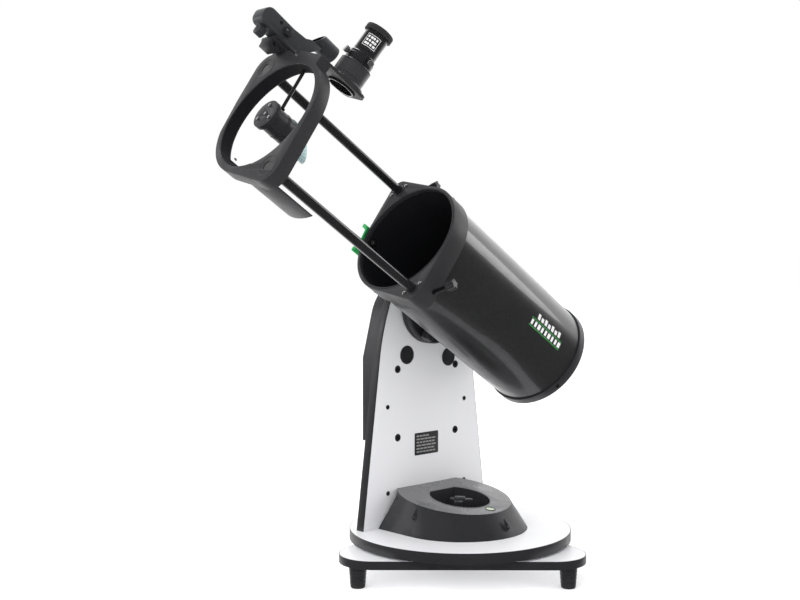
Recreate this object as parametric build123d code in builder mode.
from build123d import *
import os
from math import asin, cos, radians, sin, sqrt

# Tabletop single-arm Newtonian telescope. Millimetres, +Z up.
# The origin is the mouth of the tripod thread, on the azimuth axis, at the underside of the ground board.
# +X runs along the straight front edge of the ground board and +Y runs away from that edge.

# ---------------------------------------------------------------- stand
ground_thickness = 12.0
ground_corner_x = 126.0
ground_corner_y = 88.0
ground_tail_y = 138.0
ground_corner_radius = 50.0
board_thickness = 15.0
edge_band = 1.0
pad_thickness = 3.0
pad_radius = 12.0
pad_ring_radius = 118.0
turntable_radius = 165.0
foot_x = 148.0
foot_front_y = 111.0
foot_rear_y = 160.0
foot_height = 31.5
foot_radius = 12.9
foot_tip_radius = 10.0
post_radius = 9.0
post_flange_radius = 22.0
post_flange_thickness = 3.0
post_stud_radius = 4.0
tripod_bore_radius = 4.0
tripod_bore_depth = 11.0
bush_wall = 4.0
running_clearance = 0.05
free_gap = 0.5

# ---------------------------------------------------------------- arm panel, in the turntable's frame
turntable_angle = 43.5
panel_front = 70.0
panel_half_width = 131.0
panel_taper = 0.13
panel_shoulder_drop = 78.0
panel_crown_radius = 83.0
panel_crown_turn = 21.5
axis_height = 328.0
cap_radius = 5.8
cap_upper = (61.7, 234.5)
cap_lower = (61.5, 131.6)
screw_radius = 3.5
screw_upper = (82.0, 179.3)
screw_lower = (81.6, 50.0)
plug_radius = 13.0
plug_left = (-42.7, 255.0)
plug_right = (46.0, 247.0)
plate_width = 50.0
plate_height = 34.0
plate_centre = (-1.5, 117.3)
plate_thickness = 0.8
panel_bolt_radius = 3.0
panel_bolt_spacing = 90.0
panel_bolt_length = 48.0

# ---------------------------------------------------------------- azimuth drive cover
cover_radius = 101.0
cover_top_radius = 86.0
cover_top_shift = 12.0
cover_rim_height = 43.8
cover_rise = 0.165
cover_wall = 2.5
well_radius = 45.0
well_back = 37.0
azimuth_gear_radius = 58.0
azimuth_gear_lift = 5.0
gear_thickness = 8.0
gear_teeth = 60
tooth_depth = 1.6
worm_radius = 8.0
worm_length = 30.0
worm_shaft_radius = 3.0
worm_shaft_reach = 20.0
motor_radius = 8.5
motor_length = 26.0
bearing_length = 4.0
knob_hub_radius = 9.0
knob_lobe_radius = 6.5
knob_lobe_reach = 14.0
knob_height = 27.0
level_radius = 8.0
level_x = 5.0
level_y = -58.0
level_depth = 5.0

# ---------------------------------------------------------------- altitude hub and rear housing
hub_radius = 57.0
hub_thickness = 17.5
hub_gap = 2.0
washer_radius = 34.0
shaft_radius = 14.0
housing_half_width = 88.0
housing_shoulder_width = 70.0
housing_shoulder_drop = 10.0
housing_side_drop = 78.0
housing_rise = 44.0
housing_bottom = 125.0
housing_depth = 35.0
housing_wall = 2.5
altitude_gear_radius = 40.0
altitude_gear_lift = 5.0
altitude_stud_radius = 5.0
altitude_knob_radius = 24.0
altitude_knob_height = 14.0
jaw_length = 96.0
jaw_half_width = 36.0
jaw_reach = 9.5
seat_thickness = 5.0
slide_gap = 0.1
clamp_bolt_radius = 3.0
clamp_knob_radius = 9.0
clamp_knob_start = 40.0
clamp_knob_end = 58.0

# ---------------------------------------------------------------- optical tube
altitude = 32.5
tube_radius = 80.0
tube_wall = 0.8
tube_front = 184.0
tube_rear = -138.0
ring_wall = 4.0
ring_front = 190.0
ring_rear = 160.0
ear_rear = 160.0
ear_radius = 16.0
ear_screw_spacing = 13.7
ear_screw_radius = 2.5
rod_radius = 6.5
rod_offset = 18.5
rod_angle = 36.2
lock_along = 167.0
lock_angle = -64.5
lock_bolt_radius = 3.0
lock_knob_radius = 7.5
lock_knob_gap = 0.6
lock_knob_length = 14.0
rear_ring_wall = 2.2
rear_ring_front = -128.0
rear_ring_bore = 72.0
rear_end = -144.0
back_plate_thickness = 3.0
cell_radius = 70.0
cell_thickness = 4.0
mirror_radius = 65.0
mirror_thickness = 15.0
mirror_face = -110.0
collimation_ring_radius = 55.0
collimation_bolt_radius = 2.5
bar_gap = 2.5
bar_neck = 17.0
bar_half_width = 22.0
bar_height = 13.0
bar_web = 4.0
bar_wall = 5.0
bar_front = 193.0
bar_rear = -82.0
bar_bolt_front = 176.0
bar_bolt_rear = -66.0
bar_bolt_radius = 3.0

# ---------------------------------------------------------------- upper cage
cage_front = 466.5
cage_rear = 447.5
cage_step = 6.0
cage_inset = 2.0
cage_boss_radius = 22.0
cage_flat_step = 4.0
shelf_step = 23.5
shelf_side = 24.0
shelf_end = 60.0
rod_rear = 160.0
focuser_angle = -16.0
focuser_along = 405.0
seat_step = 15.5
focuser_seat_half = 26.5
focuser_seat_corner = 12.0
focuser_plate_thickness = 4.0
focuser_plate_rear = 378.5
shield_wall = 1.2
shield_rear = 354.0
shield_half_angle = 32.0
vane_radius = 2.4
vane_along = 452.0
vane_angle = -5.0
secondary_radius = 18.0
secondary_thickness = 7.0
holder_radius = 17.0
holder_front = 462.0
holder_cap_radius = 20.0
holder_cap_front = 468.0
flange_radius = 26.0
flange_thickness = 4.0
body_radius = 22.0
body_height = 29.0
focuser_fit = 0.05
draw_bore = 15.95
draw_wall = 3.3
draw_drop = 3.5
draw_rise = 39.5
thread_ring_height = 3.0
thumb_radius = 4.5
thumb_rise = 35.5
thumb_length = 8.0
eyepiece_barrel_radius = 15.875
eyepiece_barrel_length = 27.0
eyepiece_radius = 16.5
eyepiece_collar_radius = 18.2
eyepiece_length = 36.0
eyepiece_bore = 11.0
eyecup_radius = 19.5
eyecup_height = 8.0

# ---------------------------------------------------------------- finder
finder_side = 45.0
finder_half_width = 12.0
shoe_front = 492.0
shoe_rear = 449.0
shoe_height = 4.5
shoe_nose_rear = 475.0
shoe_nose_drop = 10.0
finder_front = 519.0
finder_rear = 440.0
finder_lift = 9.5
finder_height = 25.0
hoop_radius = 12.5
hoop_wall = 2.2
hoop_rear = 395.0
hoop_front = 436.0
hoop_rise = 51.0
finder_wheel_radius = 7.0
finder_wheel_length = 5.0

# ---------------------------------------------------------------- frames
up = Vector(0, 0, 1)
turn_x = Vector(cos(radians(turntable_angle)), sin(radians(turntable_angle)), 0)
turn_y = Vector(-sin(radians(turntable_angle)), cos(radians(turntable_angle)), 0)
disc_bottom = ground_thickness + pad_thickness
disc_top = disc_bottom + board_thickness
axis_z = disc_top + axis_height
panel_shoulder = axis_height - panel_shoulder_drop
housing_shoulder = axis_height - housing_shoulder_drop
housing_side_top = axis_height - housing_side_drop
housing_top = axis_height + housing_rise
collar_radius = tube_radius + ring_wall
tube_bore = tube_radius - tube_wall
bar_inner = tube_radius + bar_gap
bar_outer = bar_inner + bar_height
seat_face = bar_outer + slide_gap
hub_face = seat_face + seat_thickness
tube_to_panel = hub_face + hub_thickness + hub_gap
sky = turn_x * -cos(radians(altitude)) + up * sin(radians(altitude))
crest = turn_x * sin(radians(altitude)) + up * cos(radians(altitude))
tube_centre = turn_y * (panel_front - tube_to_panel) + up * axis_z
rod_ring_radius = tube_radius + rod_offset
ear_slope = asin((collar_radius - ear_radius) / rod_ring_radius)
lock_slope = radians(180 - rod_angle + lock_angle) - ear_slope
lock_knob_start = (ear_radius + lock_knob_radius * cos(lock_slope) + lock_knob_gap) / sin(lock_slope)
lock_knob_end = lock_knob_start + lock_knob_length
cage_radius = tube_radius + cage_step
cage_bore = tube_radius - cage_inset
cage_flat = tube_radius + cage_flat_step
shelf_height = tube_radius + shelf_step
focuser_seat = tube_radius + seat_step
body_top = focuser_seat + body_height
draw_base = focuser_seat - draw_drop
draw_top = focuser_seat + draw_rise
thumb_height = focuser_seat + thumb_rise
eyepiece_barrel_base = draw_top - eyepiece_barrel_length
eyepiece_top = draw_top + eyepiece_length
eyecup_top = eyepiece_top + eyecup_height
finder_base = shelf_height + finder_lift
finder_top = finder_base + finder_height
hoop_height = shelf_height + hoop_rise

floor = Plane.XY
turn = Plane(origin=(0, 0, 0), x_dir=turn_x, z_dir=up)
arm = Plane(origin=(0, 0, disc_top), x_dir=turn_x, z_dir=turn_y * -1)
axle = Plane(origin=up * axis_z, x_dir=turn_x, z_dir=turn_y * -1)
saddle = Plane(origin=up * axis_z, x_dir=sky, z_dir=turn_y * -1)
ota = Plane(origin=tube_centre, x_dir=crest, z_dir=sky)


def tube_point(along, angle, radius):
    """A point at a distance along the tube, and at an angle and radius around it."""
    out = crest * cos(radians(angle)) + turn_y * sin(radians(angle))
    return tube_centre + sky * along + out * radius


def radial_plane(along, angle, radius):
    """A plane on the tube whose normal points straight out of the tube's axis."""
    out = crest * cos(radians(angle)) + turn_y * sin(radians(angle))
    return Plane(origin=tube_point(along, angle, radius), x_dir=sky, z_dir=out)


def save(builder, name):
    """Label a finished piece and write its STEP file."""
    builder.part.label = name
    export_step(builder.part, "parts/" + name + ".step")


os.makedirs("parts", exist_ok=True)


# ================================================================ ground base
def ground_outline(inset):
    """Rounded triangle with its straight side at the front."""
    with Locations((-ground_corner_x, -ground_corner_y), (ground_corner_x, -ground_corner_y), (0, ground_tail_y)):
        Circle(ground_corner_radius - inset)
    make_hull()


with BuildPart() as ground_board:
    with BuildSketch(floor):
        ground_outline(edge_band)
        Circle(post_radius, mode=Mode.SUBTRACT)
    extrude(amount=ground_thickness)
    with BuildSketch(floor):
        Circle(post_flange_radius)
    extrude(amount=post_flange_thickness, mode=Mode.SUBTRACT)
save(ground_board, "ground_board")

with BuildPart() as ground_edge:
    with BuildSketch(floor):
        ground_outline(0)
    extrude(amount=ground_thickness)
    with BuildSketch(floor):
        ground_outline(edge_band)
    extrude(amount=ground_thickness, mode=Mode.SUBTRACT)
save(ground_edge, "ground_edge_band")

foot_places = [(-foot_x, -foot_front_y), (foot_x, -foot_front_y), (0, foot_rear_y)]
with BuildPart() as feet:
    with BuildSketch(floor.offset(-foot_height)):
        with Locations(*foot_places):
            Circle(foot_tip_radius)
    extrude(amount=4)
    for place in foot_places:
        with BuildSketch(floor.offset(4 - foot_height)):
            with Locations(place):
                Circle(foot_tip_radius + 0.8)
        with BuildSketch(floor):
            with Locations(place):
                Circle(foot_radius)
        loft()
save(feet, "feet")

with BuildPart() as glide_pads:
    with BuildSketch(floor.offset(ground_thickness)):
        with PolarLocations(pad_ring_radius, 3, start_angle=-30):
            Circle(pad_radius)
    extrude(amount=pad_thickness)
save(glide_pads, "glide_pads")

gear_bottom = disc_top + azimuth_gear_lift
gear_top = gear_bottom + gear_thickness
well_floor = gear_top + 1.5
post_top = well_floor + cover_wall + free_gap
stud_top = post_top + knob_height - 4
with BuildPart() as pivot_post:
    with BuildSketch(Plane.XZ):
        with BuildLine():
            Polyline((0, tripod_bore_depth), (tripod_bore_radius, tripod_bore_depth), (tripod_bore_radius, 0),
                     (post_flange_radius, 0), (post_flange_radius, post_flange_thickness),
                     (post_radius, post_flange_thickness), (post_radius, post_top),
                     (post_stud_radius, post_top), (post_stud_radius, stud_top), (0, stud_top), close=True)
        make_face()
    revolve(axis=Axis.Z)
save(pivot_post, "pivot_post")


def wheel_outline(radius, bore):
    """A worm wheel blank with square-cut teeth around its rim."""
    Circle(radius)
    with PolarLocations(radius, gear_teeth):
        Rectangle(tooth_depth * 2, 3.14159 * radius / gear_teeth, mode=Mode.SUBTRACT)
    Circle(bore, mode=Mode.SUBTRACT)


with BuildPart() as azimuth_gear:
    with BuildSketch(floor.offset(gear_bottom)):
        wheel_outline(azimuth_gear_radius, post_radius)
    extrude(amount=gear_thickness)
save(azimuth_gear, "azimuth_worm_wheel")


# ================================================================ turntable
with BuildPart() as turntable:
    with BuildSketch(turn.offset(disc_bottom)):
        Circle(turntable_radius - edge_band)
        Circle(post_radius + bush_wall, mode=Mode.SUBTRACT)
    extrude(amount=board_thickness)
    with BuildSketch(turn.offset(disc_bottom)):
        with Locations((-panel_bolt_spacing, panel_front + board_thickness / 2),
                       (0, panel_front + board_thickness / 2),
                       (panel_bolt_spacing, panel_front + board_thickness / 2)):
            Circle(panel_bolt_radius * 2)
    extrude(amount=panel_bolt_radius, mode=Mode.SUBTRACT)
    with BuildSketch(turn.offset(disc_bottom)):
        with Locations((-panel_bolt_spacing, panel_front + board_thickness / 2),
                       (0, panel_front + board_thickness / 2),
                       (panel_bolt_spacing, panel_front + board_thickness / 2)):
            Circle(panel_bolt_radius)
    extrude(amount=board_thickness, mode=Mode.SUBTRACT)
save(turntable, "turntable_board")

with BuildPart() as turntable_edge:
    with BuildSketch(turn.offset(disc_bottom)):
        Circle(turntable_radius)
        Circle(turntable_radius - edge_band, mode=Mode.SUBTRACT)
    extrude(amount=board_thickness)
save(turntable_edge, "turntable_edge_band")

def panel_shape(inset):
    """Tapered board with a round top, drawn in the arm's plane."""
    half = panel_half_width - inset * sqrt(1 + panel_taper ** 2)
    shoulder = half - panel_taper * panel_shoulder
    crown = panel_crown_radius - inset
    crown_centre = axis_height + hub_radius + 1.5 - panel_crown_radius
    crown_x = crown * cos(radians(panel_crown_turn))
    crown_y = crown_centre + crown * sin(radians(panel_crown_turn))
    with BuildSketch() as shape:
        with BuildLine():
            Line((-half, 0), (half, 0))
            Line((half, 0), (shoulder, panel_shoulder))
            TangentArc((shoulder, panel_shoulder), (crown_x, crown_y), tangent=(-panel_taper, 1))
            ThreePointArc((crown_x, crown_y), (0, crown_centre + crown), (-crown_x, crown_y))
            TangentArc((-shoulder, panel_shoulder), (-crown_x, crown_y), tangent=(panel_taper, 1))
            Line((-shoulder, panel_shoulder), (-half, 0))
        make_face()
    return shape.sketch


panel_face = panel_shape(edge_band)
panel_rim = panel_shape(0) - panel_face


def mirrored(place):
    """The same place on both sides of the panel's centre line."""
    return [(-place[0], place[1]), place]


shaft_hole = shaft_radius + bush_wall
panel_bolt_places = [(-panel_bolt_spacing, 0), (0, 0), (panel_bolt_spacing, 0)]
panel_skin = arm.offset(-panel_front)
with BuildPart() as side_panel:
    with BuildSketch(panel_skin):
        add(panel_face)
        with Locations((0, axis_height)):
            Circle(shaft_hole, mode=Mode.SUBTRACT)
        with Locations(plug_left, plug_right):
            Circle(plug_radius, mode=Mode.SUBTRACT)
        with Locations(*mirrored(cap_upper), *mirrored(cap_lower), *mirrored(screw_upper), *mirrored(screw_lower)):
            Circle(screw_radius, mode=Mode.SUBTRACT)
    extrude(amount=-board_thickness)
    with BuildSketch(panel_skin):
        with Locations(*mirrored(cap_upper), *mirrored(cap_lower)):
            Circle(cap_radius)
    extrude(amount=-3, mode=Mode.SUBTRACT)
    with BuildSketch(turn.offset(disc_top)):
        with Locations(*[(x, panel_front + board_thickness / 2) for x, _ in panel_bolt_places]):
            Circle(panel_bolt_radius)
    extrude(amount=panel_bolt_length - board_thickness, mode=Mode.SUBTRACT)
save(side_panel, "side_panel")

with BuildPart() as panel_edge:
    with BuildSketch(panel_skin):
        add(panel_rim)
    extrude(amount=-board_thickness)
save(panel_edge, "side_panel_edge_band")

with BuildPart() as panel_bolts:
    with BuildSketch(turn.offset(disc_bottom)):
        with Locations(*[(x, panel_front + board_thickness / 2) for x, _ in panel_bolt_places]):
            Circle(panel_bolt_radius * 2)
    extrude(amount=panel_bolt_radius)
    with BuildSketch(turn.offset(disc_bottom)):
        with Locations(*[(x, panel_front + board_thickness / 2) for x, _ in panel_bolt_places]):
            Circle(panel_bolt_radius)
    extrude(amount=panel_bolt_length)
save(panel_bolts, "panel_bolts")

with BuildPart() as panel_screws:
    with BuildSketch(panel_skin):
        with Locations(*mirrored(cap_upper), *mirrored(cap_lower)):
            Circle(cap_radius)
    extrude(amount=-3)
    with BuildSketch(panel_skin):
        with Locations(*mirrored(cap_upper), *mirrored(cap_lower), *mirrored(screw_upper), *mirrored(screw_lower)):
            Circle(screw_radius)
    extrude(amount=-board_thickness)
    with BuildSketch(panel_skin):
        with Locations(*mirrored(cap_upper), *mirrored(cap_lower)):
            Circle(cap_radius * 0.55)
        with Locations(*mirrored(screw_upper), *mirrored(screw_lower)):
            Circle(screw_radius * 0.5)
    extrude(amount=-1.5, mode=Mode.SUBTRACT)
save(panel_screws, "panel_screws")

with BuildPart() as panel_plugs:
    with BuildSketch(panel_skin):
        with Locations(plug_left, plug_right):
            Circle(plug_radius)
    extrude(amount=-board_thickness)
    with BuildSketch(panel_skin):
        with Locations(plug_left, plug_right):
            Circle(plug_radius - 1.5)
    extrude(amount=-board_thickness + 3, mode=Mode.SUBTRACT)
save(panel_plugs, "panel_plugs")

with BuildPart() as label_plate:
    with BuildSketch(panel_skin):
        with Locations(plate_centre):
            Rectangle(plate_width, plate_height)
    extrude(amount=plate_thickness)
save(label_plate, "label_plate")


# ---------------------------------------------------------------- azimuth drive cover
def cover_foot(inset, back):
    """D shape on the board: a half round in front, straight sides back to the panel."""
    reach = cover_radius - inset
    with BuildSketch() as shape:
        with BuildLine():
            ThreePointArc((-reach, 0), (0, -reach), (reach, 0))
            Polyline((reach, 0), (reach, back), (-reach, back), (-reach, 0))
        make_face()
    return shape.sketch


def cover_lid(inset, back):
    """D shape of the sloping top: a round cut off straight at the panel."""
    reach = cover_top_radius - inset
    rise = back - cover_top_shift
    half = sqrt(reach ** 2 - rise ** 2)
    middle = asin(rise / reach) / 2
    side = (reach * cos(middle), cover_top_shift + reach * sin(middle))
    with BuildSketch() as shape:
        with BuildLine():
            ThreePointArc((-reach, cover_top_shift), (0, cover_top_shift - reach), (reach, cover_top_shift))
            ThreePointArc((reach, cover_top_shift), side, (half, back))
            Line((half, back), (-half, back))
            ThreePointArc((-half, back), (-side[0], side[1]), (-reach, cover_top_shift))
        make_face()
    return shape.sketch


def well_shape(grow):
    """D shape of the knob well, with its straight side towards the panel."""
    reach = well_radius + grow
    with BuildSketch() as shape:
        Circle(reach)
        with Locations((0, well_back + grow + reach)):
            Rectangle(2 * reach, 2 * reach, mode=Mode.SUBTRACT)
    return shape.sketch


board_plane = turn.offset(disc_top)
lid_plane = Plane(origin=up * (disc_top + cover_rim_height), x_dir=turn_x, z_dir=up - turn_y * cover_rise)
lid_back = panel_front * sqrt(1 + cover_rise ** 2)
foot_outer = cover_foot(0, panel_front)
foot_inner = cover_foot(cover_wall, panel_front + 1)
lid_outer = cover_lid(0, lid_back)
lid_inner = cover_lid(cover_wall, lid_back + 1)
well_outer = well_shape(cover_wall)
well_inner = well_shape(0)
level_place = (level_x, level_y)

with BuildPart() as cover_block:
    with BuildSketch(board_plane):
        add(foot_outer)
    with BuildSketch(lid_plane):
        add(lid_outer)
    loft()

with BuildPart() as well_block:
    with BuildSketch(floor.offset(well_floor)):
        add(well_outer.rotate(Axis.Z, turntable_angle))
    extrude(amount=cover_rim_height)
    add(cover_block.part, mode=Mode.INTERSECT)

with BuildPart() as drive_cover:
    add(cover_block.part)
    with BuildSketch(board_plane):
        add(foot_inner)
    with BuildSketch(lid_plane.offset(-cover_wall)):
        add(lid_inner)
    loft(mode=Mode.SUBTRACT)
    add(well_block.part)
    with BuildSketch(turn.offset(well_floor + cover_wall)):
        add(well_inner)
    extrude(amount=cover_rim_height, mode=Mode.SUBTRACT)
    with BuildSketch(turn.offset(well_floor)):
        Circle(post_radius + free_gap)
    extrude(amount=cover_wall, mode=Mode.SUBTRACT)
    with BuildSketch(lid_plane):
        with Locations(level_place):
            Circle(level_radius)
    extrude(amount=-cover_wall, mode=Mode.SUBTRACT)
save(drive_cover, "drive_cover")

with BuildPart() as level_cup:
    with BuildSketch(lid_plane.offset(0.6)):
        with Locations(level_place):
            Circle(level_radius)
    extrude(amount=-0.6 - level_depth)
    with BuildSketch(lid_plane.offset(0.6)):
        with Locations(level_place):
            Circle(level_radius - 1.5)
    extrude(amount=-1, mode=Mode.SUBTRACT)
save(level_cup, "bubble_level")

worm_mesh = 0.3
worm_y = -(azimuth_gear_radius + worm_radius + worm_mesh)
worm_z = gear_bottom + gear_thickness / 2
worm_axis = Plane(origin=turn_y * worm_y + up * worm_z, x_dir=up, z_dir=turn_x)
with BuildPart() as azimuth_worm:
    with BuildSketch(worm_axis.offset(-worm_length / 2)):
        Circle(worm_radius)
    extrude(amount=worm_length)
    with BuildSketch(worm_axis.offset(-worm_shaft_reach)):
        Circle(worm_shaft_radius)
    extrude(amount=2 * worm_shaft_reach)
save(azimuth_worm, "azimuth_worm")

bearing_starts = [-worm_shaft_reach, worm_shaft_reach - bearing_length]
with BuildPart() as azimuth_motor:
    for start in bearing_starts:
        with BuildSketch(worm_axis.offset(start)):
            with Locations((-(worm_z - disc_top) / 2, 0)):
                Rectangle(worm_z - disc_top, 2 * worm_radius)
            Circle(worm_radius)
            Circle(worm_shaft_radius, mode=Mode.SUBTRACT)
        extrude(amount=bearing_length)
    with BuildSketch(worm_axis.offset(worm_shaft_reach)):
        Circle(motor_radius)
    extrude(amount=motor_length)
save(azimuth_motor, "azimuth_motor")

knob_bottom = post_top + free_gap
with BuildPart() as azimuth_knob:
    with BuildSketch(turn.offset(knob_bottom)):
        Circle(knob_hub_radius)
        with PolarLocations(knob_lobe_reach, 3, start_angle=90):
            Circle(knob_lobe_radius)
        with PolarLocations(knob_lobe_reach / 2, 3, start_angle=90):
            Rectangle(knob_lobe_reach, 2 * knob_lobe_radius - 3)
    extrude(amount=knob_height)
    with BuildSketch(turn.offset(knob_bottom)):
        Circle(post_stud_radius + running_clearance)
    extrude(amount=knob_height - 3, mode=Mode.SUBTRACT)
save(azimuth_knob, "azimuth_clutch_knob")


# ---------------------------------------------------------------- rear housing, behind the panel
def housing_shape(inset):
    """Straight-sided box under a rounded top, drawn in the arm's plane."""
    half = housing_half_width - inset
    shoulder = housing_shoulder_width - inset
    top = housing_top - inset
    bottom = housing_bottom + inset
    with BuildSketch() as shape:
        with BuildLine():
            Polyline((-half, housing_side_top), (-half, bottom), (half, bottom), (half, housing_side_top))
            Line((half, housing_side_top), (shoulder, housing_shoulder))
            ThreePointArc((shoulder, housing_shoulder), (0, top), (-shoulder, housing_shoulder))
            Line((-shoulder, housing_shoulder), (-half, housing_side_top))
        make_face()
    return shape.sketch


with BuildPart() as bushes:
    with BuildSketch(turn.offset(disc_bottom)):
        Circle(post_radius + bush_wall)
        Circle(post_radius + running_clearance, mode=Mode.SUBTRACT)
    extrude(amount=board_thickness)
    with BuildSketch(turn.offset(disc_top)):
        Circle(post_radius + bush_wall * 2)
        Circle(post_radius + running_clearance, mode=Mode.SUBTRACT)
    extrude(amount=azimuth_gear_lift - free_gap)
    with BuildSketch(axle.offset(-panel_front)):
        Circle(shaft_hole)
        Circle(shaft_radius + running_clearance, mode=Mode.SUBTRACT)
    extrude(amount=-board_thickness)
    with BuildSketch(axle.offset(-panel_front)):
        Circle(washer_radius)
        Circle(shaft_radius + running_clearance, mode=Mode.SUBTRACT)
    extrude(amount=hub_gap - slide_gap)
save(bushes, "bushes")


panel_back = arm.offset(-panel_front - board_thickness)
housing_outer = housing_shape(0)
housing_inner = housing_shape(housing_wall)
with BuildPart() as housing:
    with BuildSketch(panel_back):
        add(housing_outer)
    extrude(amount=-housing_depth)
    with BuildSketch(panel_back):
        add(housing_inner)
    extrude(amount=housing_wall - housing_depth, mode=Mode.SUBTRACT)
    with BuildSketch(panel_back):
        with Locations((0, axis_height)):
            Circle(altitude_stud_radius + free_gap * 2)
    extrude(amount=-housing_depth, mode=Mode.SUBTRACT)
save(housing, "rear_housing")

altitude_worm_drop = altitude_gear_radius + worm_radius + worm_mesh
altitude_gear_back = panel_front + board_thickness + altitude_gear_lift
altitude_worm_y = altitude_gear_back + gear_thickness / 2
altitude_worm_axis = Plane(origin=turn_y * altitude_worm_y + up * (axis_z - altitude_worm_drop),
                           x_dir=up, z_dir=turn_x)
with BuildPart() as altitude_worm:
    with BuildSketch(altitude_worm_axis.offset(-worm_length / 2)):
        Circle(worm_radius)
    extrude(amount=worm_length)
    with BuildSketch(altitude_worm_axis.offset(-worm_shaft_reach)):
        Circle(worm_shaft_radius)
    extrude(amount=2 * worm_shaft_reach)
save(altitude_worm, "altitude_worm")

bearing_stand = altitude_worm_y - panel_front - board_thickness
with BuildPart() as altitude_motor:
    for start in bearing_starts:
        with BuildSketch(altitude_worm_axis.offset(start)):
            with Locations((0, -bearing_stand / 2)):
                Rectangle(2 * worm_radius, bearing_stand)
            Circle(worm_radius)
            Circle(worm_shaft_radius, mode=Mode.SUBTRACT)
        extrude(amount=bearing_length)
    with BuildSketch(altitude_worm_axis.offset(worm_shaft_reach)):
        Circle(motor_radius)
    extrude(amount=motor_length)
save(altitude_motor, "altitude_motor")

with BuildPart() as battery_box:
    with BuildSketch(panel_back):
        with Locations((0, housing_bottom + 38)):
            RectangleRounded(130, 60, 4)
    extrude(amount=-24)
save(battery_box, "battery_box")

with BuildPart() as main_board:
    with BuildSketch(panel_back.offset(-4)):
        with Locations((0, housing_bottom + 96)):
            Rectangle(90, 44)
    extrude(amount=-1.6)
    with BuildSketch(panel_back):
        with Locations((0, housing_bottom + 96)):
            with GridLocations(80, 34, 2, 2):
                Circle(2.5)
    extrude(amount=-4)
save(main_board, "main_circuit_board")

# ================================================================ altitude hub
hub_back = axle.offset(-panel_front + hub_gap)
gear_start = axle.offset(-altitude_gear_back)
housing_back = panel_front + board_thickness + housing_depth
altitude_knob_front = housing_back + free_gap * 2
hub_socket = 10.0
with BuildPart() as hub:
    with BuildSketch(hub_back):
        Circle(hub_radius)
    extrude(amount=hub_thickness)
    with BuildSketch(hub_back):
        Circle(shaft_radius)
    extrude(amount=hub_socket, mode=Mode.SUBTRACT)
save(hub, "altitude_hub")

altitude_gear_end = altitude_gear_back + gear_thickness
with BuildPart() as shaft:
    with BuildSketch(hub_back.offset(hub_socket)):
        Circle(shaft_radius)
    extrude(amount=-hub_socket - altitude_gear_end + panel_front - hub_gap)
    with BuildSketch(axle.offset(-altitude_gear_end)):
        Circle(altitude_stud_radius)
    extrude(amount=altitude_gear_end - altitude_knob_front - altitude_knob_height + 4)
save(shaft, "altitude_shaft")

with BuildPart() as altitude_gear:
    with BuildSketch(gear_start):
        wheel_outline(altitude_gear_radius, shaft_radius)
    extrude(amount=-gear_thickness)
save(altitude_gear, "altitude_worm_wheel")

with BuildPart() as altitude_knob:
    with BuildSketch(axle.offset(-altitude_knob_front)):
        Circle(altitude_knob_radius)
        with PolarLocations(altitude_knob_radius + 2, 8):
            Circle(5, mode=Mode.SUBTRACT)
    extrude(amount=-altitude_knob_height)
    with BuildSketch(axle.offset(-altitude_knob_front)):
        Circle(altitude_stud_radius + running_clearance)
    extrude(amount=3 - altitude_knob_height, mode=Mode.SUBTRACT)
save(altitude_knob, "altitude_clutch_knob")

bar_slope = (bar_half_width - bar_neck) / (bar_height - 3)
jaw_end = seat_face - jaw_reach
jaw_tip = bar_neck + bar_slope * (jaw_end - bar_inner) + slide_gap * 1.3
jaw_root = bar_half_width + slide_gap * 1.3
clamp_y = seat_face - jaw_reach / 2
clamp_plane = Plane(origin=tube_centre + turn_y * clamp_y, x_dir=sky, z_dir=crest * -1)
with BuildPart() as saddle_plate:
    with BuildSketch(ota.offset(-jaw_length / 2)):
        with BuildLine():
            Polyline((-jaw_half_width, hub_face), (-jaw_half_width, jaw_end), (-jaw_tip, jaw_end),
                     (-jaw_root, bar_outer - 3), (-jaw_root, seat_face), (jaw_root, seat_face),
                     (jaw_root, bar_outer - 3), (jaw_tip, jaw_end), (jaw_half_width, jaw_end),
                     (jaw_half_width, hub_face), close=True)
        make_face()
    extrude(amount=jaw_length)
    with BuildSketch(clamp_plane):
        Circle(clamp_bolt_radius + running_clearance)
    extrude(amount=jaw_half_width + 1, mode=Mode.SUBTRACT)
save(saddle_plate, "saddle")

with BuildPart() as clamp_knob:
    with BuildSketch(clamp_plane.offset(jaw_root + free_gap)):
        Circle(clamp_bolt_radius)
    extrude(amount=clamp_knob_end - jaw_root - 4)
    with BuildSketch(clamp_plane.offset(clamp_knob_start)):
        Circle(clamp_knob_radius)
        with PolarLocations(clamp_knob_radius + 1, 6):
            Circle(2.2, mode=Mode.SUBTRACT)
    extrude(amount=clamp_knob_end - clamp_knob_start)
save(clamp_knob, "saddle_clamp_knob")

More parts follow.
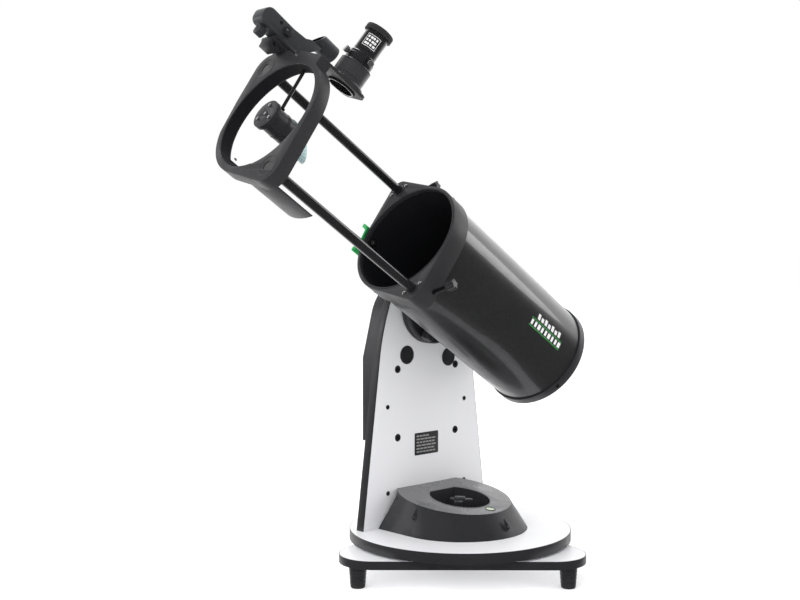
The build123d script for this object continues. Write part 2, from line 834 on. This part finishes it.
# ================================================================ optical tube
bar_front_bolt = Plane(origin=tube_centre + sky * bar_bolt_front, x_dir=sky, z_dir=turn_y)
bar_rear_bolt = Plane(origin=tube_centre + sky * bar_bolt_rear, x_dir=sky, z_dir=turn_y)
with BuildPart() as dovetail:
    with BuildSketch(ota.offset(bar_rear)):
        with BuildLine():
            Polyline((-bar_neck, bar_inner), (bar_neck, bar_inner), (bar_half_width, bar_outer - 3),
                     (bar_half_width, bar_outer), (bar_half_width - bar_wall, bar_outer),
                     (bar_neck - bar_wall, bar_inner + bar_web), (bar_wall - bar_neck, bar_inner + bar_web),
                     (bar_wall - bar_half_width, bar_outer), (-bar_half_width, bar_outer),
                     (-bar_half_width, bar_outer - 3), close=True)
        make_face()
    extrude(amount=bar_front - bar_rear)
    with BuildSketch(ota.offset(bar_bolt_rear - 10)):
        with Locations((0, bar_inner - 4)):
            Rectangle(24, 8)
        Circle(tube_radius, mode=Mode.SUBTRACT)
    extrude(amount=20)
    for plane in [bar_front_bolt, bar_rear_bolt]:
        with BuildSketch(plane):
            Circle(bar_bolt_radius)
        extrude(amount=bar_outer, mode=Mode.SUBTRACT)
save(dovetail, "dovetail_bar")

with BuildPart() as tube:
    with BuildSketch(ota.offset(tube_rear)):
        Circle(tube_radius)
        Circle(tube_bore, mode=Mode.SUBTRACT)
    extrude(amount=tube_front - tube_rear)
    for plane in [bar_front_bolt, bar_rear_bolt]:
        with BuildSketch(plane):
            Circle(bar_bolt_radius)
        extrude(amount=bar_outer, mode=Mode.SUBTRACT)
save(tube, "main_tube")

rod_places = [rod_angle, rod_angle + 180]
rod_points = [(rod_ring_radius * cos(radians(turn)), rod_ring_radius * sin(radians(turn))) for turn in rod_places]
lock_out = crest * cos(radians(lock_angle)) + turn_y * sin(radians(lock_angle))
lock_planes = [Plane(origin=tube_point(lock_along, turn, rod_ring_radius), x_dir=sky, z_dir=lock_out)
               for turn in rod_places]
screw_points = []
for x, y in rod_points:
    step_x = -y / rod_ring_radius * ear_screw_spacing
    step_y = x / rod_ring_radius * ear_screw_spacing
    screw_points.append((x + step_x * 0.8, y + step_y * 0.8))
    screw_points.append((x - step_x * 0.8, y - step_y * 0.8))

with BuildPart() as bar_bolts:
    for plane in [bar_front_bolt, bar_rear_bolt]:
        with BuildSketch(plane.offset(tube_bore - 3)):
            Circle(bar_bolt_radius)
        extrude(amount=bar_inner + bar_web - tube_bore + 3)
        with BuildSketch(plane.offset(bar_inner + bar_web)):
            Circle(bar_bolt_radius * 1.8)
        extrude(amount=3)
        with BuildSketch(plane.offset(tube_bore - 4)):
            RegularPolygon(bar_bolt_radius * 1.7, 6)
        extrude(amount=3)
    with BuildSketch(ota.offset(ring_front)):
        with Locations(*screw_points):
            Circle(ear_screw_radius)
    extrude(amount=1)
save(bar_bolts, "tube_fasteners")

with BuildPart() as front_ring:
    with BuildSketch(ota.offset(ring_rear)):
        Circle(collar_radius)
    extrude(amount=ring_front - ring_rear)
    with BuildSketch(ota.offset(ear_rear)):
        Circle(collar_radius)
        with Locations(*rod_points):
            Circle(ear_radius)
        make_hull()
    extrude(amount=ring_front - ear_rear)
    with BuildSketch(ota.offset(ring_rear)):
        with Locations((0, bar_inner + 50)):
            Rectangle(400, 100)
    extrude(amount=ring_front - ring_rear, mode=Mode.SUBTRACT)
    with BuildSketch(ota.offset(ring_rear)):
        Circle(tube_radius)
    extrude(amount=tube_front - ring_rear, mode=Mode.SUBTRACT)
    with BuildSketch(ota.offset(tube_front)):
        Circle(tube_bore)
    extrude(amount=ring_front - tube_front, mode=Mode.SUBTRACT)
    with BuildSketch(ota.offset(ear_rear)):
        with Locations(*rod_points):
            Circle(rod_radius + running_clearance)
    extrude(amount=ring_front - ear_rear, mode=Mode.SUBTRACT)
    for plane in lock_planes:
        with BuildSketch(plane):
            Circle(lock_bolt_radius + running_clearance)
        extrude(amount=lock_knob_end, mode=Mode.SUBTRACT)
    with BuildSketch(bar_front_bolt):
        Circle(bar_bolt_radius)
    extrude(amount=bar_outer, mode=Mode.SUBTRACT)
save(front_ring, "front_ring")

for index, plane in enumerate(lock_planes):
    with BuildPart() as lock_knob:
        with BuildSketch(plane.offset(rod_radius + free_gap)):
            Circle(lock_bolt_radius)
        extrude(amount=lock_knob_start - rod_radius)
        with BuildSketch(plane.offset(lock_knob_start)):
            Circle(lock_knob_radius)
            with PolarLocations(lock_knob_radius + 1, 6):
                Circle(2.2, mode=Mode.SUBTRACT)
        extrude(amount=lock_knob_end - lock_knob_start)
    save(lock_knob, "rod_lock_knob_" + str(index + 1))

with BuildPart() as rear_ring:
    with BuildSketch(ota.offset(rear_end)):
        Circle(tube_radius + rear_ring_wall)
        Circle(rear_ring_bore, mode=Mode.SUBTRACT)
    extrude(amount=rear_ring_front - rear_end)
    with BuildSketch(ota.offset(tube_rear)):
        Circle(tube_radius)
    extrude(amount=rear_ring_front - tube_rear, mode=Mode.SUBTRACT)
    with BuildSketch(ota.offset(tube_rear)):
        Circle(tube_bore)
        with PolarLocations(collimation_ring_radius, 6):
            Circle(collimation_bolt_radius, mode=Mode.SUBTRACT)
    extrude(amount=back_plate_thickness)
save(rear_ring, "rear_ring")

plate_front = tube_rear + back_plate_thickness
mirror_back = mirror_face - mirror_thickness
cell_back = mirror_back - cell_thickness
with BuildPart() as mirror_cell:
    with BuildSketch(ota.offset(cell_back)):
        Circle(cell_radius)
        Circle(30, mode=Mode.SUBTRACT)
        with PolarLocations(collimation_ring_radius, 6):
            Circle(collimation_bolt_radius, mode=Mode.SUBTRACT)
    extrude(amount=cell_thickness)
    with BuildSketch(ota.offset(mirror_back)):
        with PolarLocations(mirror_radius + 2.5, 3, start_angle=30):
            Rectangle(5, 18)
        Circle(mirror_radius, mode=Mode.SUBTRACT)
    extrude(amount=mirror_thickness + 2)
save(mirror_cell, "mirror_cell")

with BuildPart() as primary:
    with BuildSketch(ota.offset(mirror_back)):
        Circle(mirror_radius)
    extrude(amount=mirror_thickness)
save(primary, "primary_mirror")

with BuildPart() as collimation:
    with BuildSketch(ota.offset(tube_rear)):
        with PolarLocations(collimation_ring_radius, 6):
            Circle(collimation_bolt_radius)
    extrude(amount=mirror_back - tube_rear)
    with BuildSketch(ota.offset(tube_rear - 4)):
        with PolarLocations(collimation_ring_radius, 6):
            Circle(collimation_bolt_radius * 2)
    extrude(amount=4)
    with BuildSketch(ota.offset(plate_front)):
        with PolarLocations(collimation_ring_radius, 3):
            Circle(collimation_bolt_radius + 2)
        with PolarLocations(collimation_ring_radius, 3):
            Circle(collimation_bolt_radius, mode=Mode.SUBTRACT)
    extrude(amount=cell_back - plate_front)
save(collimation, "collimation_bolts")

# ================================================================ upper cage
seat_plane = radial_plane(focuser_along, focuser_angle, 0)
focuser_out = crest * cos(radians(focuser_angle)) + turn_y * sin(radians(focuser_angle))
focuser_side = turn_y * cos(radians(focuser_angle)) - crest * sin(radians(focuser_angle))
plate_length = cage_front - focuser_plate_rear
draw_radius = draw_bore + draw_wall
seat_ring = (focuser_seat - 20)
with BuildPart() as cage_ring:
    with BuildSketch(ota.offset(cage_rear)):
        Circle(cage_radius)
        with Locations(*rod_points):
            Circle(cage_boss_radius)
        make_hull()
    extrude(amount=cage_front - cage_rear)
    with BuildSketch(ota.offset(cage_rear)):
        with Locations((shelf_height - 15, (shelf_side + shelf_end) / 2)):
            Rectangle(30, shelf_end - shelf_side)
        with Locations(Location((seat_ring * cos(radians(focuser_angle)), seat_ring * sin(radians(focuser_angle)), 0),
                                (0, 0, focuser_angle))):
            Rectangle(40, 2 * focuser_seat_half)
    extrude(amount=cage_front - cage_rear)
    with BuildSketch(seat_plane.offset(focuser_seat - focuser_plate_thickness)):
        with Locations((focuser_plate_rear - focuser_along + plate_length / 2, 0)):
            Rectangle(plate_length, 2 * focuser_seat_half)
        fillet(vertices().group_by(Axis.X)[0], radius=focuser_seat_corner)
    extrude(amount=focuser_plate_thickness)
    with BuildSketch(ota.offset(cage_rear)):
        with Locations((0, cage_flat + 50)):
            Rectangle(400, 100)
    extrude(amount=cage_front - cage_rear, mode=Mode.SUBTRACT)
    with BuildSketch(ota.offset(cage_rear)):
        Circle(cage_bore)
        with Locations(*rod_points):
            Circle(rod_radius)
    extrude(amount=cage_front - cage_rear, mode=Mode.SUBTRACT)
    with BuildSketch(seat_plane.offset(focuser_seat - focuser_plate_thickness)):
        Circle(draw_radius + 1)
    extrude(amount=focuser_plate_thickness, mode=Mode.SUBTRACT)
    with BuildSketch(radial_plane(vane_along, vane_angle, cage_bore - 1)):
        Circle(vane_radius)
    extrude(amount=5, mode=Mode.SUBTRACT)
save(cage_ring, "cage_ring")

with BuildPart() as rods:
    with BuildSketch(ota.offset(rod_rear)):
        with Locations(*rod_points):
            Circle(rod_radius)
    extrude(amount=cage_front - rod_rear)
save(rods, "truss_rods")

shield_far = 2 * cage_bore
with BuildPart() as shield:
    with BuildSketch(ota.offset(shield_rear)):
        Circle(cage_bore)
        Circle(cage_bore - shield_wall, mode=Mode.SUBTRACT)
        with BuildLine(mode=Mode.PRIVATE) as wedge:
            Polyline((0, 0),
                     (-shield_far * cos(radians(focuser_angle - shield_half_angle)),
                      -shield_far * sin(radians(focuser_angle - shield_half_angle))),
                     (-shield_far * cos(radians(focuser_angle)) * 2, -shield_far * sin(radians(focuser_angle)) * 2),
                     (-shield_far * cos(radians(focuser_angle + shield_half_angle)),
                      -shield_far * sin(radians(focuser_angle + shield_half_angle))), close=True)
        make_face(wedge.edges(), mode=Mode.INTERSECT)
    extrude(amount=cage_front - shield_rear)
save(shield, "light_shield")

mirror_normal = (focuser_out - sky).normalized()
mirror_origin = tube_centre + sky * focuser_along
mirror_front = Plane(origin=mirror_origin, z_dir=mirror_normal)
mirror_rear = Plane(origin=mirror_origin - mirror_normal * secondary_thickness, z_dir=mirror_normal)
with BuildPart() as secondary:
    with BuildSketch(ota.offset(focuser_along - 40)):
        Circle(secondary_radius)
    extrude(amount=80)
    split(bisect_by=mirror_front, keep=Keep.BOTTOM)
    split(bisect_by=mirror_rear, keep=Keep.TOP)
save(secondary, "secondary_mirror")

with BuildPart() as holder:
    with BuildSketch(ota.offset(focuser_along - 40)):
        Circle(holder_radius)
    extrude(amount=holder_front - focuser_along + 40)
    split(bisect_by=mirror_rear, keep=Keep.BOTTOM)
    with BuildSketch(radial_plane(vane_along, vane_angle, holder_radius - 4)):
        Circle(vane_radius)
    extrude(amount=6, mode=Mode.SUBTRACT)
    with BuildSketch(ota.offset(holder_front)):
        Circle(holder_cap_radius)
    extrude(amount=holder_cap_front - holder_front)
    with BuildSketch(ota.offset(holder_cap_front - 2)):
        with PolarLocations(13, 3):
            Circle(2.2)
        Circle(3)
    extrude(amount=2, mode=Mode.SUBTRACT)
save(holder, "secondary_holder")

with BuildPart() as vane:
    with BuildSketch(radial_plane(vane_along, vane_angle, holder_radius - 4)):
        Circle(vane_radius)
    extrude(amount=cage_bore + 4 - holder_radius + 4)
    with BuildSketch(ota.offset(holder_cap_front - 2)):
        with PolarLocations(13, 3):
            Circle(2.2)
        Circle(3)
    extrude(amount=3.5)
save(vane, "secondary_vane_and_screws")

# ---------------------------------------------------------------- focuser
with BuildPart() as focuser_base:
    with BuildSketch(seat_plane.offset(focuser_seat)):
        Circle(flange_radius)
    extrude(amount=flange_thickness)
    with BuildSketch(seat_plane.offset(focuser_seat + flange_thickness)):
        Circle(body_radius)
    extrude(amount=body_top - focuser_seat - flange_thickness)
    with BuildSketch(seat_plane.offset(focuser_seat)):
        Circle(draw_radius + focuser_fit)
    extrude(amount=body_top - focuser_seat, mode=Mode.SUBTRACT)
save(focuser_base, "focuser_base")

with BuildPart() as thread_ring:
    with BuildSketch(seat_plane.offset(draw_base - slide_gap)):
        Circle(draw_radius - 0.3)
        Circle(draw_bore + 1, mode=Mode.SUBTRACT)
    extrude(amount=-thread_ring_height)
save(thread_ring, "focuser_thread_ring")

thumb_planes = [Plane(origin=tube_point(focuser_along, focuser_angle, thumb_height), x_dir=focuser_out, z_dir=out)
                for out in [focuser_side * -1, sky]]
with BuildPart() as drawtube:
    with BuildSketch(seat_plane.offset(draw_base)):
        Circle(draw_radius)
        Circle(draw_bore, mode=Mode.SUBTRACT)
    extrude(amount=draw_top - draw_base)
    for plane in thumb_planes:
        with BuildSketch(plane.offset(draw_bore - 2)):
            Circle(thumb_radius / 3)
        extrude(amount=draw_wall + 4, mode=Mode.SUBTRACT)
save(drawtube, "focuser_drawtube")

with BuildPart() as thumbscrews:
    for plane in thumb_planes:
        with BuildSketch(plane.offset(eyepiece_barrel_radius + slide_gap)):
            Circle(thumb_radius / 3)
        extrude(amount=draw_wall + 3)
        with BuildSketch(plane.offset(draw_radius + 1)):
            Circle(thumb_radius)
        extrude(amount=thumb_length)
save(thumbscrews, "eyepiece_thumbscrews")

with BuildPart() as eyepiece_body:
    with BuildSketch(seat_plane.offset(eyepiece_barrel_base)):
        Circle(eyepiece_barrel_radius)
        Circle(eyepiece_bore, mode=Mode.SUBTRACT)
    extrude(amount=draw_top - eyepiece_barrel_base)
    with BuildSketch(seat_plane.offset(draw_top)):
        Circle(eyepiece_collar_radius)
    extrude(amount=4)
    with BuildSketch(seat_plane.offset(draw_top + 4)):
        Circle(eyepiece_radius)
    extrude(amount=eyepiece_top - draw_top - 4)
    with BuildSketch(seat_plane.offset(draw_top)):
        Circle(eyepiece_bore)
    extrude(amount=eyepiece_top - draw_top, mode=Mode.SUBTRACT)
save(eyepiece_body, "eyepiece_body")

with BuildPart() as eyecup:
    with BuildSketch(seat_plane.offset(eyepiece_top)):
        Circle(eyecup_radius)
        Circle(eyepiece_bore, mode=Mode.SUBTRACT)
    extrude(amount=eyecup_top - eyepiece_top)
save(eyecup, "eyecup")

with BuildPart() as eyepiece_lenses:
    with BuildSketch(seat_plane.offset(eyepiece_barrel_base + 3)):
        Circle(eyepiece_bore)
    extrude(amount=4)
    with BuildSketch(seat_plane.offset(eyepiece_top - 4)):
        Circle(eyepiece_bore)
    extrude(amount=4)
save(eyepiece_lenses, "eyepiece_lenses")

# ---------------------------------------------------------------- finder
shoe_top = shelf_height + shoe_height
with BuildPart() as shoe:
    with BuildSketch(ota.offset(shoe_rear)):
        with Locations((shelf_height + shoe_height / 2, finder_side)):
            Rectangle(shoe_height, 2 * finder_half_width)
    extrude(amount=shoe_front - shoe_rear)
    with BuildSketch(ota.offset(shoe_nose_rear)):
        with Locations((shelf_height - shoe_nose_drop / 2, finder_side)):
            Rectangle(shoe_nose_drop, 2 * finder_half_width - 4)
    extrude(amount=shoe_front - shoe_nose_rear)
    with BuildSketch(ota.offset(shoe_rear + 4)):
        with Locations(((shoe_top + finder_base) / 2, finder_side)):
            Rectangle(finder_base - shoe_top, 2 * finder_half_width + 4)
    extrude(amount=shoe_front - shoe_rear - 8)
save(shoe, "finder_shoe")

finder_height = finder_top - finder_base
with BuildPart() as finder_body:
    with BuildSketch(ota.offset(finder_rear)):
        with Locations(((finder_top + finder_base) / 2, finder_side)):
            RectangleRounded(finder_height, 2 * finder_half_width - 2, 4)
    extrude(amount=finder_front - finder_rear)
    with BuildSketch(ota.offset(hoop_front - 12)):
        with Locations((finder_top - 2, finder_side)):
            Rectangle(14, 9)
    extrude(amount=26)
    with BuildSketch(ota.offset(hoop_rear)):
        with Locations((hoop_height, finder_side)):
            Circle(hoop_radius)
    extrude(amount=hoop_front - hoop_rear)
    with BuildSketch(ota.offset(hoop_rear)):
        with Locations((hoop_height, finder_side)):
            Circle(hoop_radius - hoop_wall)
    extrude(amount=hoop_front - hoop_rear, mode=Mode.SUBTRACT)
save(finder_body, "finder_body")

with BuildPart() as finder_lens:
    with BuildSketch(ota.offset(hoop_front - 8)):
        with Locations((hoop_height, finder_side)):
            Circle(hoop_radius - hoop_wall)
    extrude(amount=2)
save(finder_lens, "finder_lens")

wheel_plane = ota.offset(shoe_front + 8)
with BuildPart() as finder_wheel:
    with BuildSketch(wheel_plane):
        with Locations((finder_base - finder_wheel_radius - free_gap, finder_side)):
            Circle(finder_wheel_radius)
    extrude(amount=finder_wheel_length + 6)
save(finder_wheel, "finder_tilt_wheel")

side_plane = Plane(origin=tube_centre + sky * 477 + crest * ((finder_base + finder_top) / 2) +
                   turn_y * (finder_side - finder_half_width + 1 - free_gap), x_dir=sky, z_dir=turn_y * -1)
with BuildPart() as finder_dial:
    with BuildSketch(side_plane):
        Circle(finder_wheel_radius)
    extrude(amount=finder_wheel_length)
save(finder_dial, "finder_switch_dial")
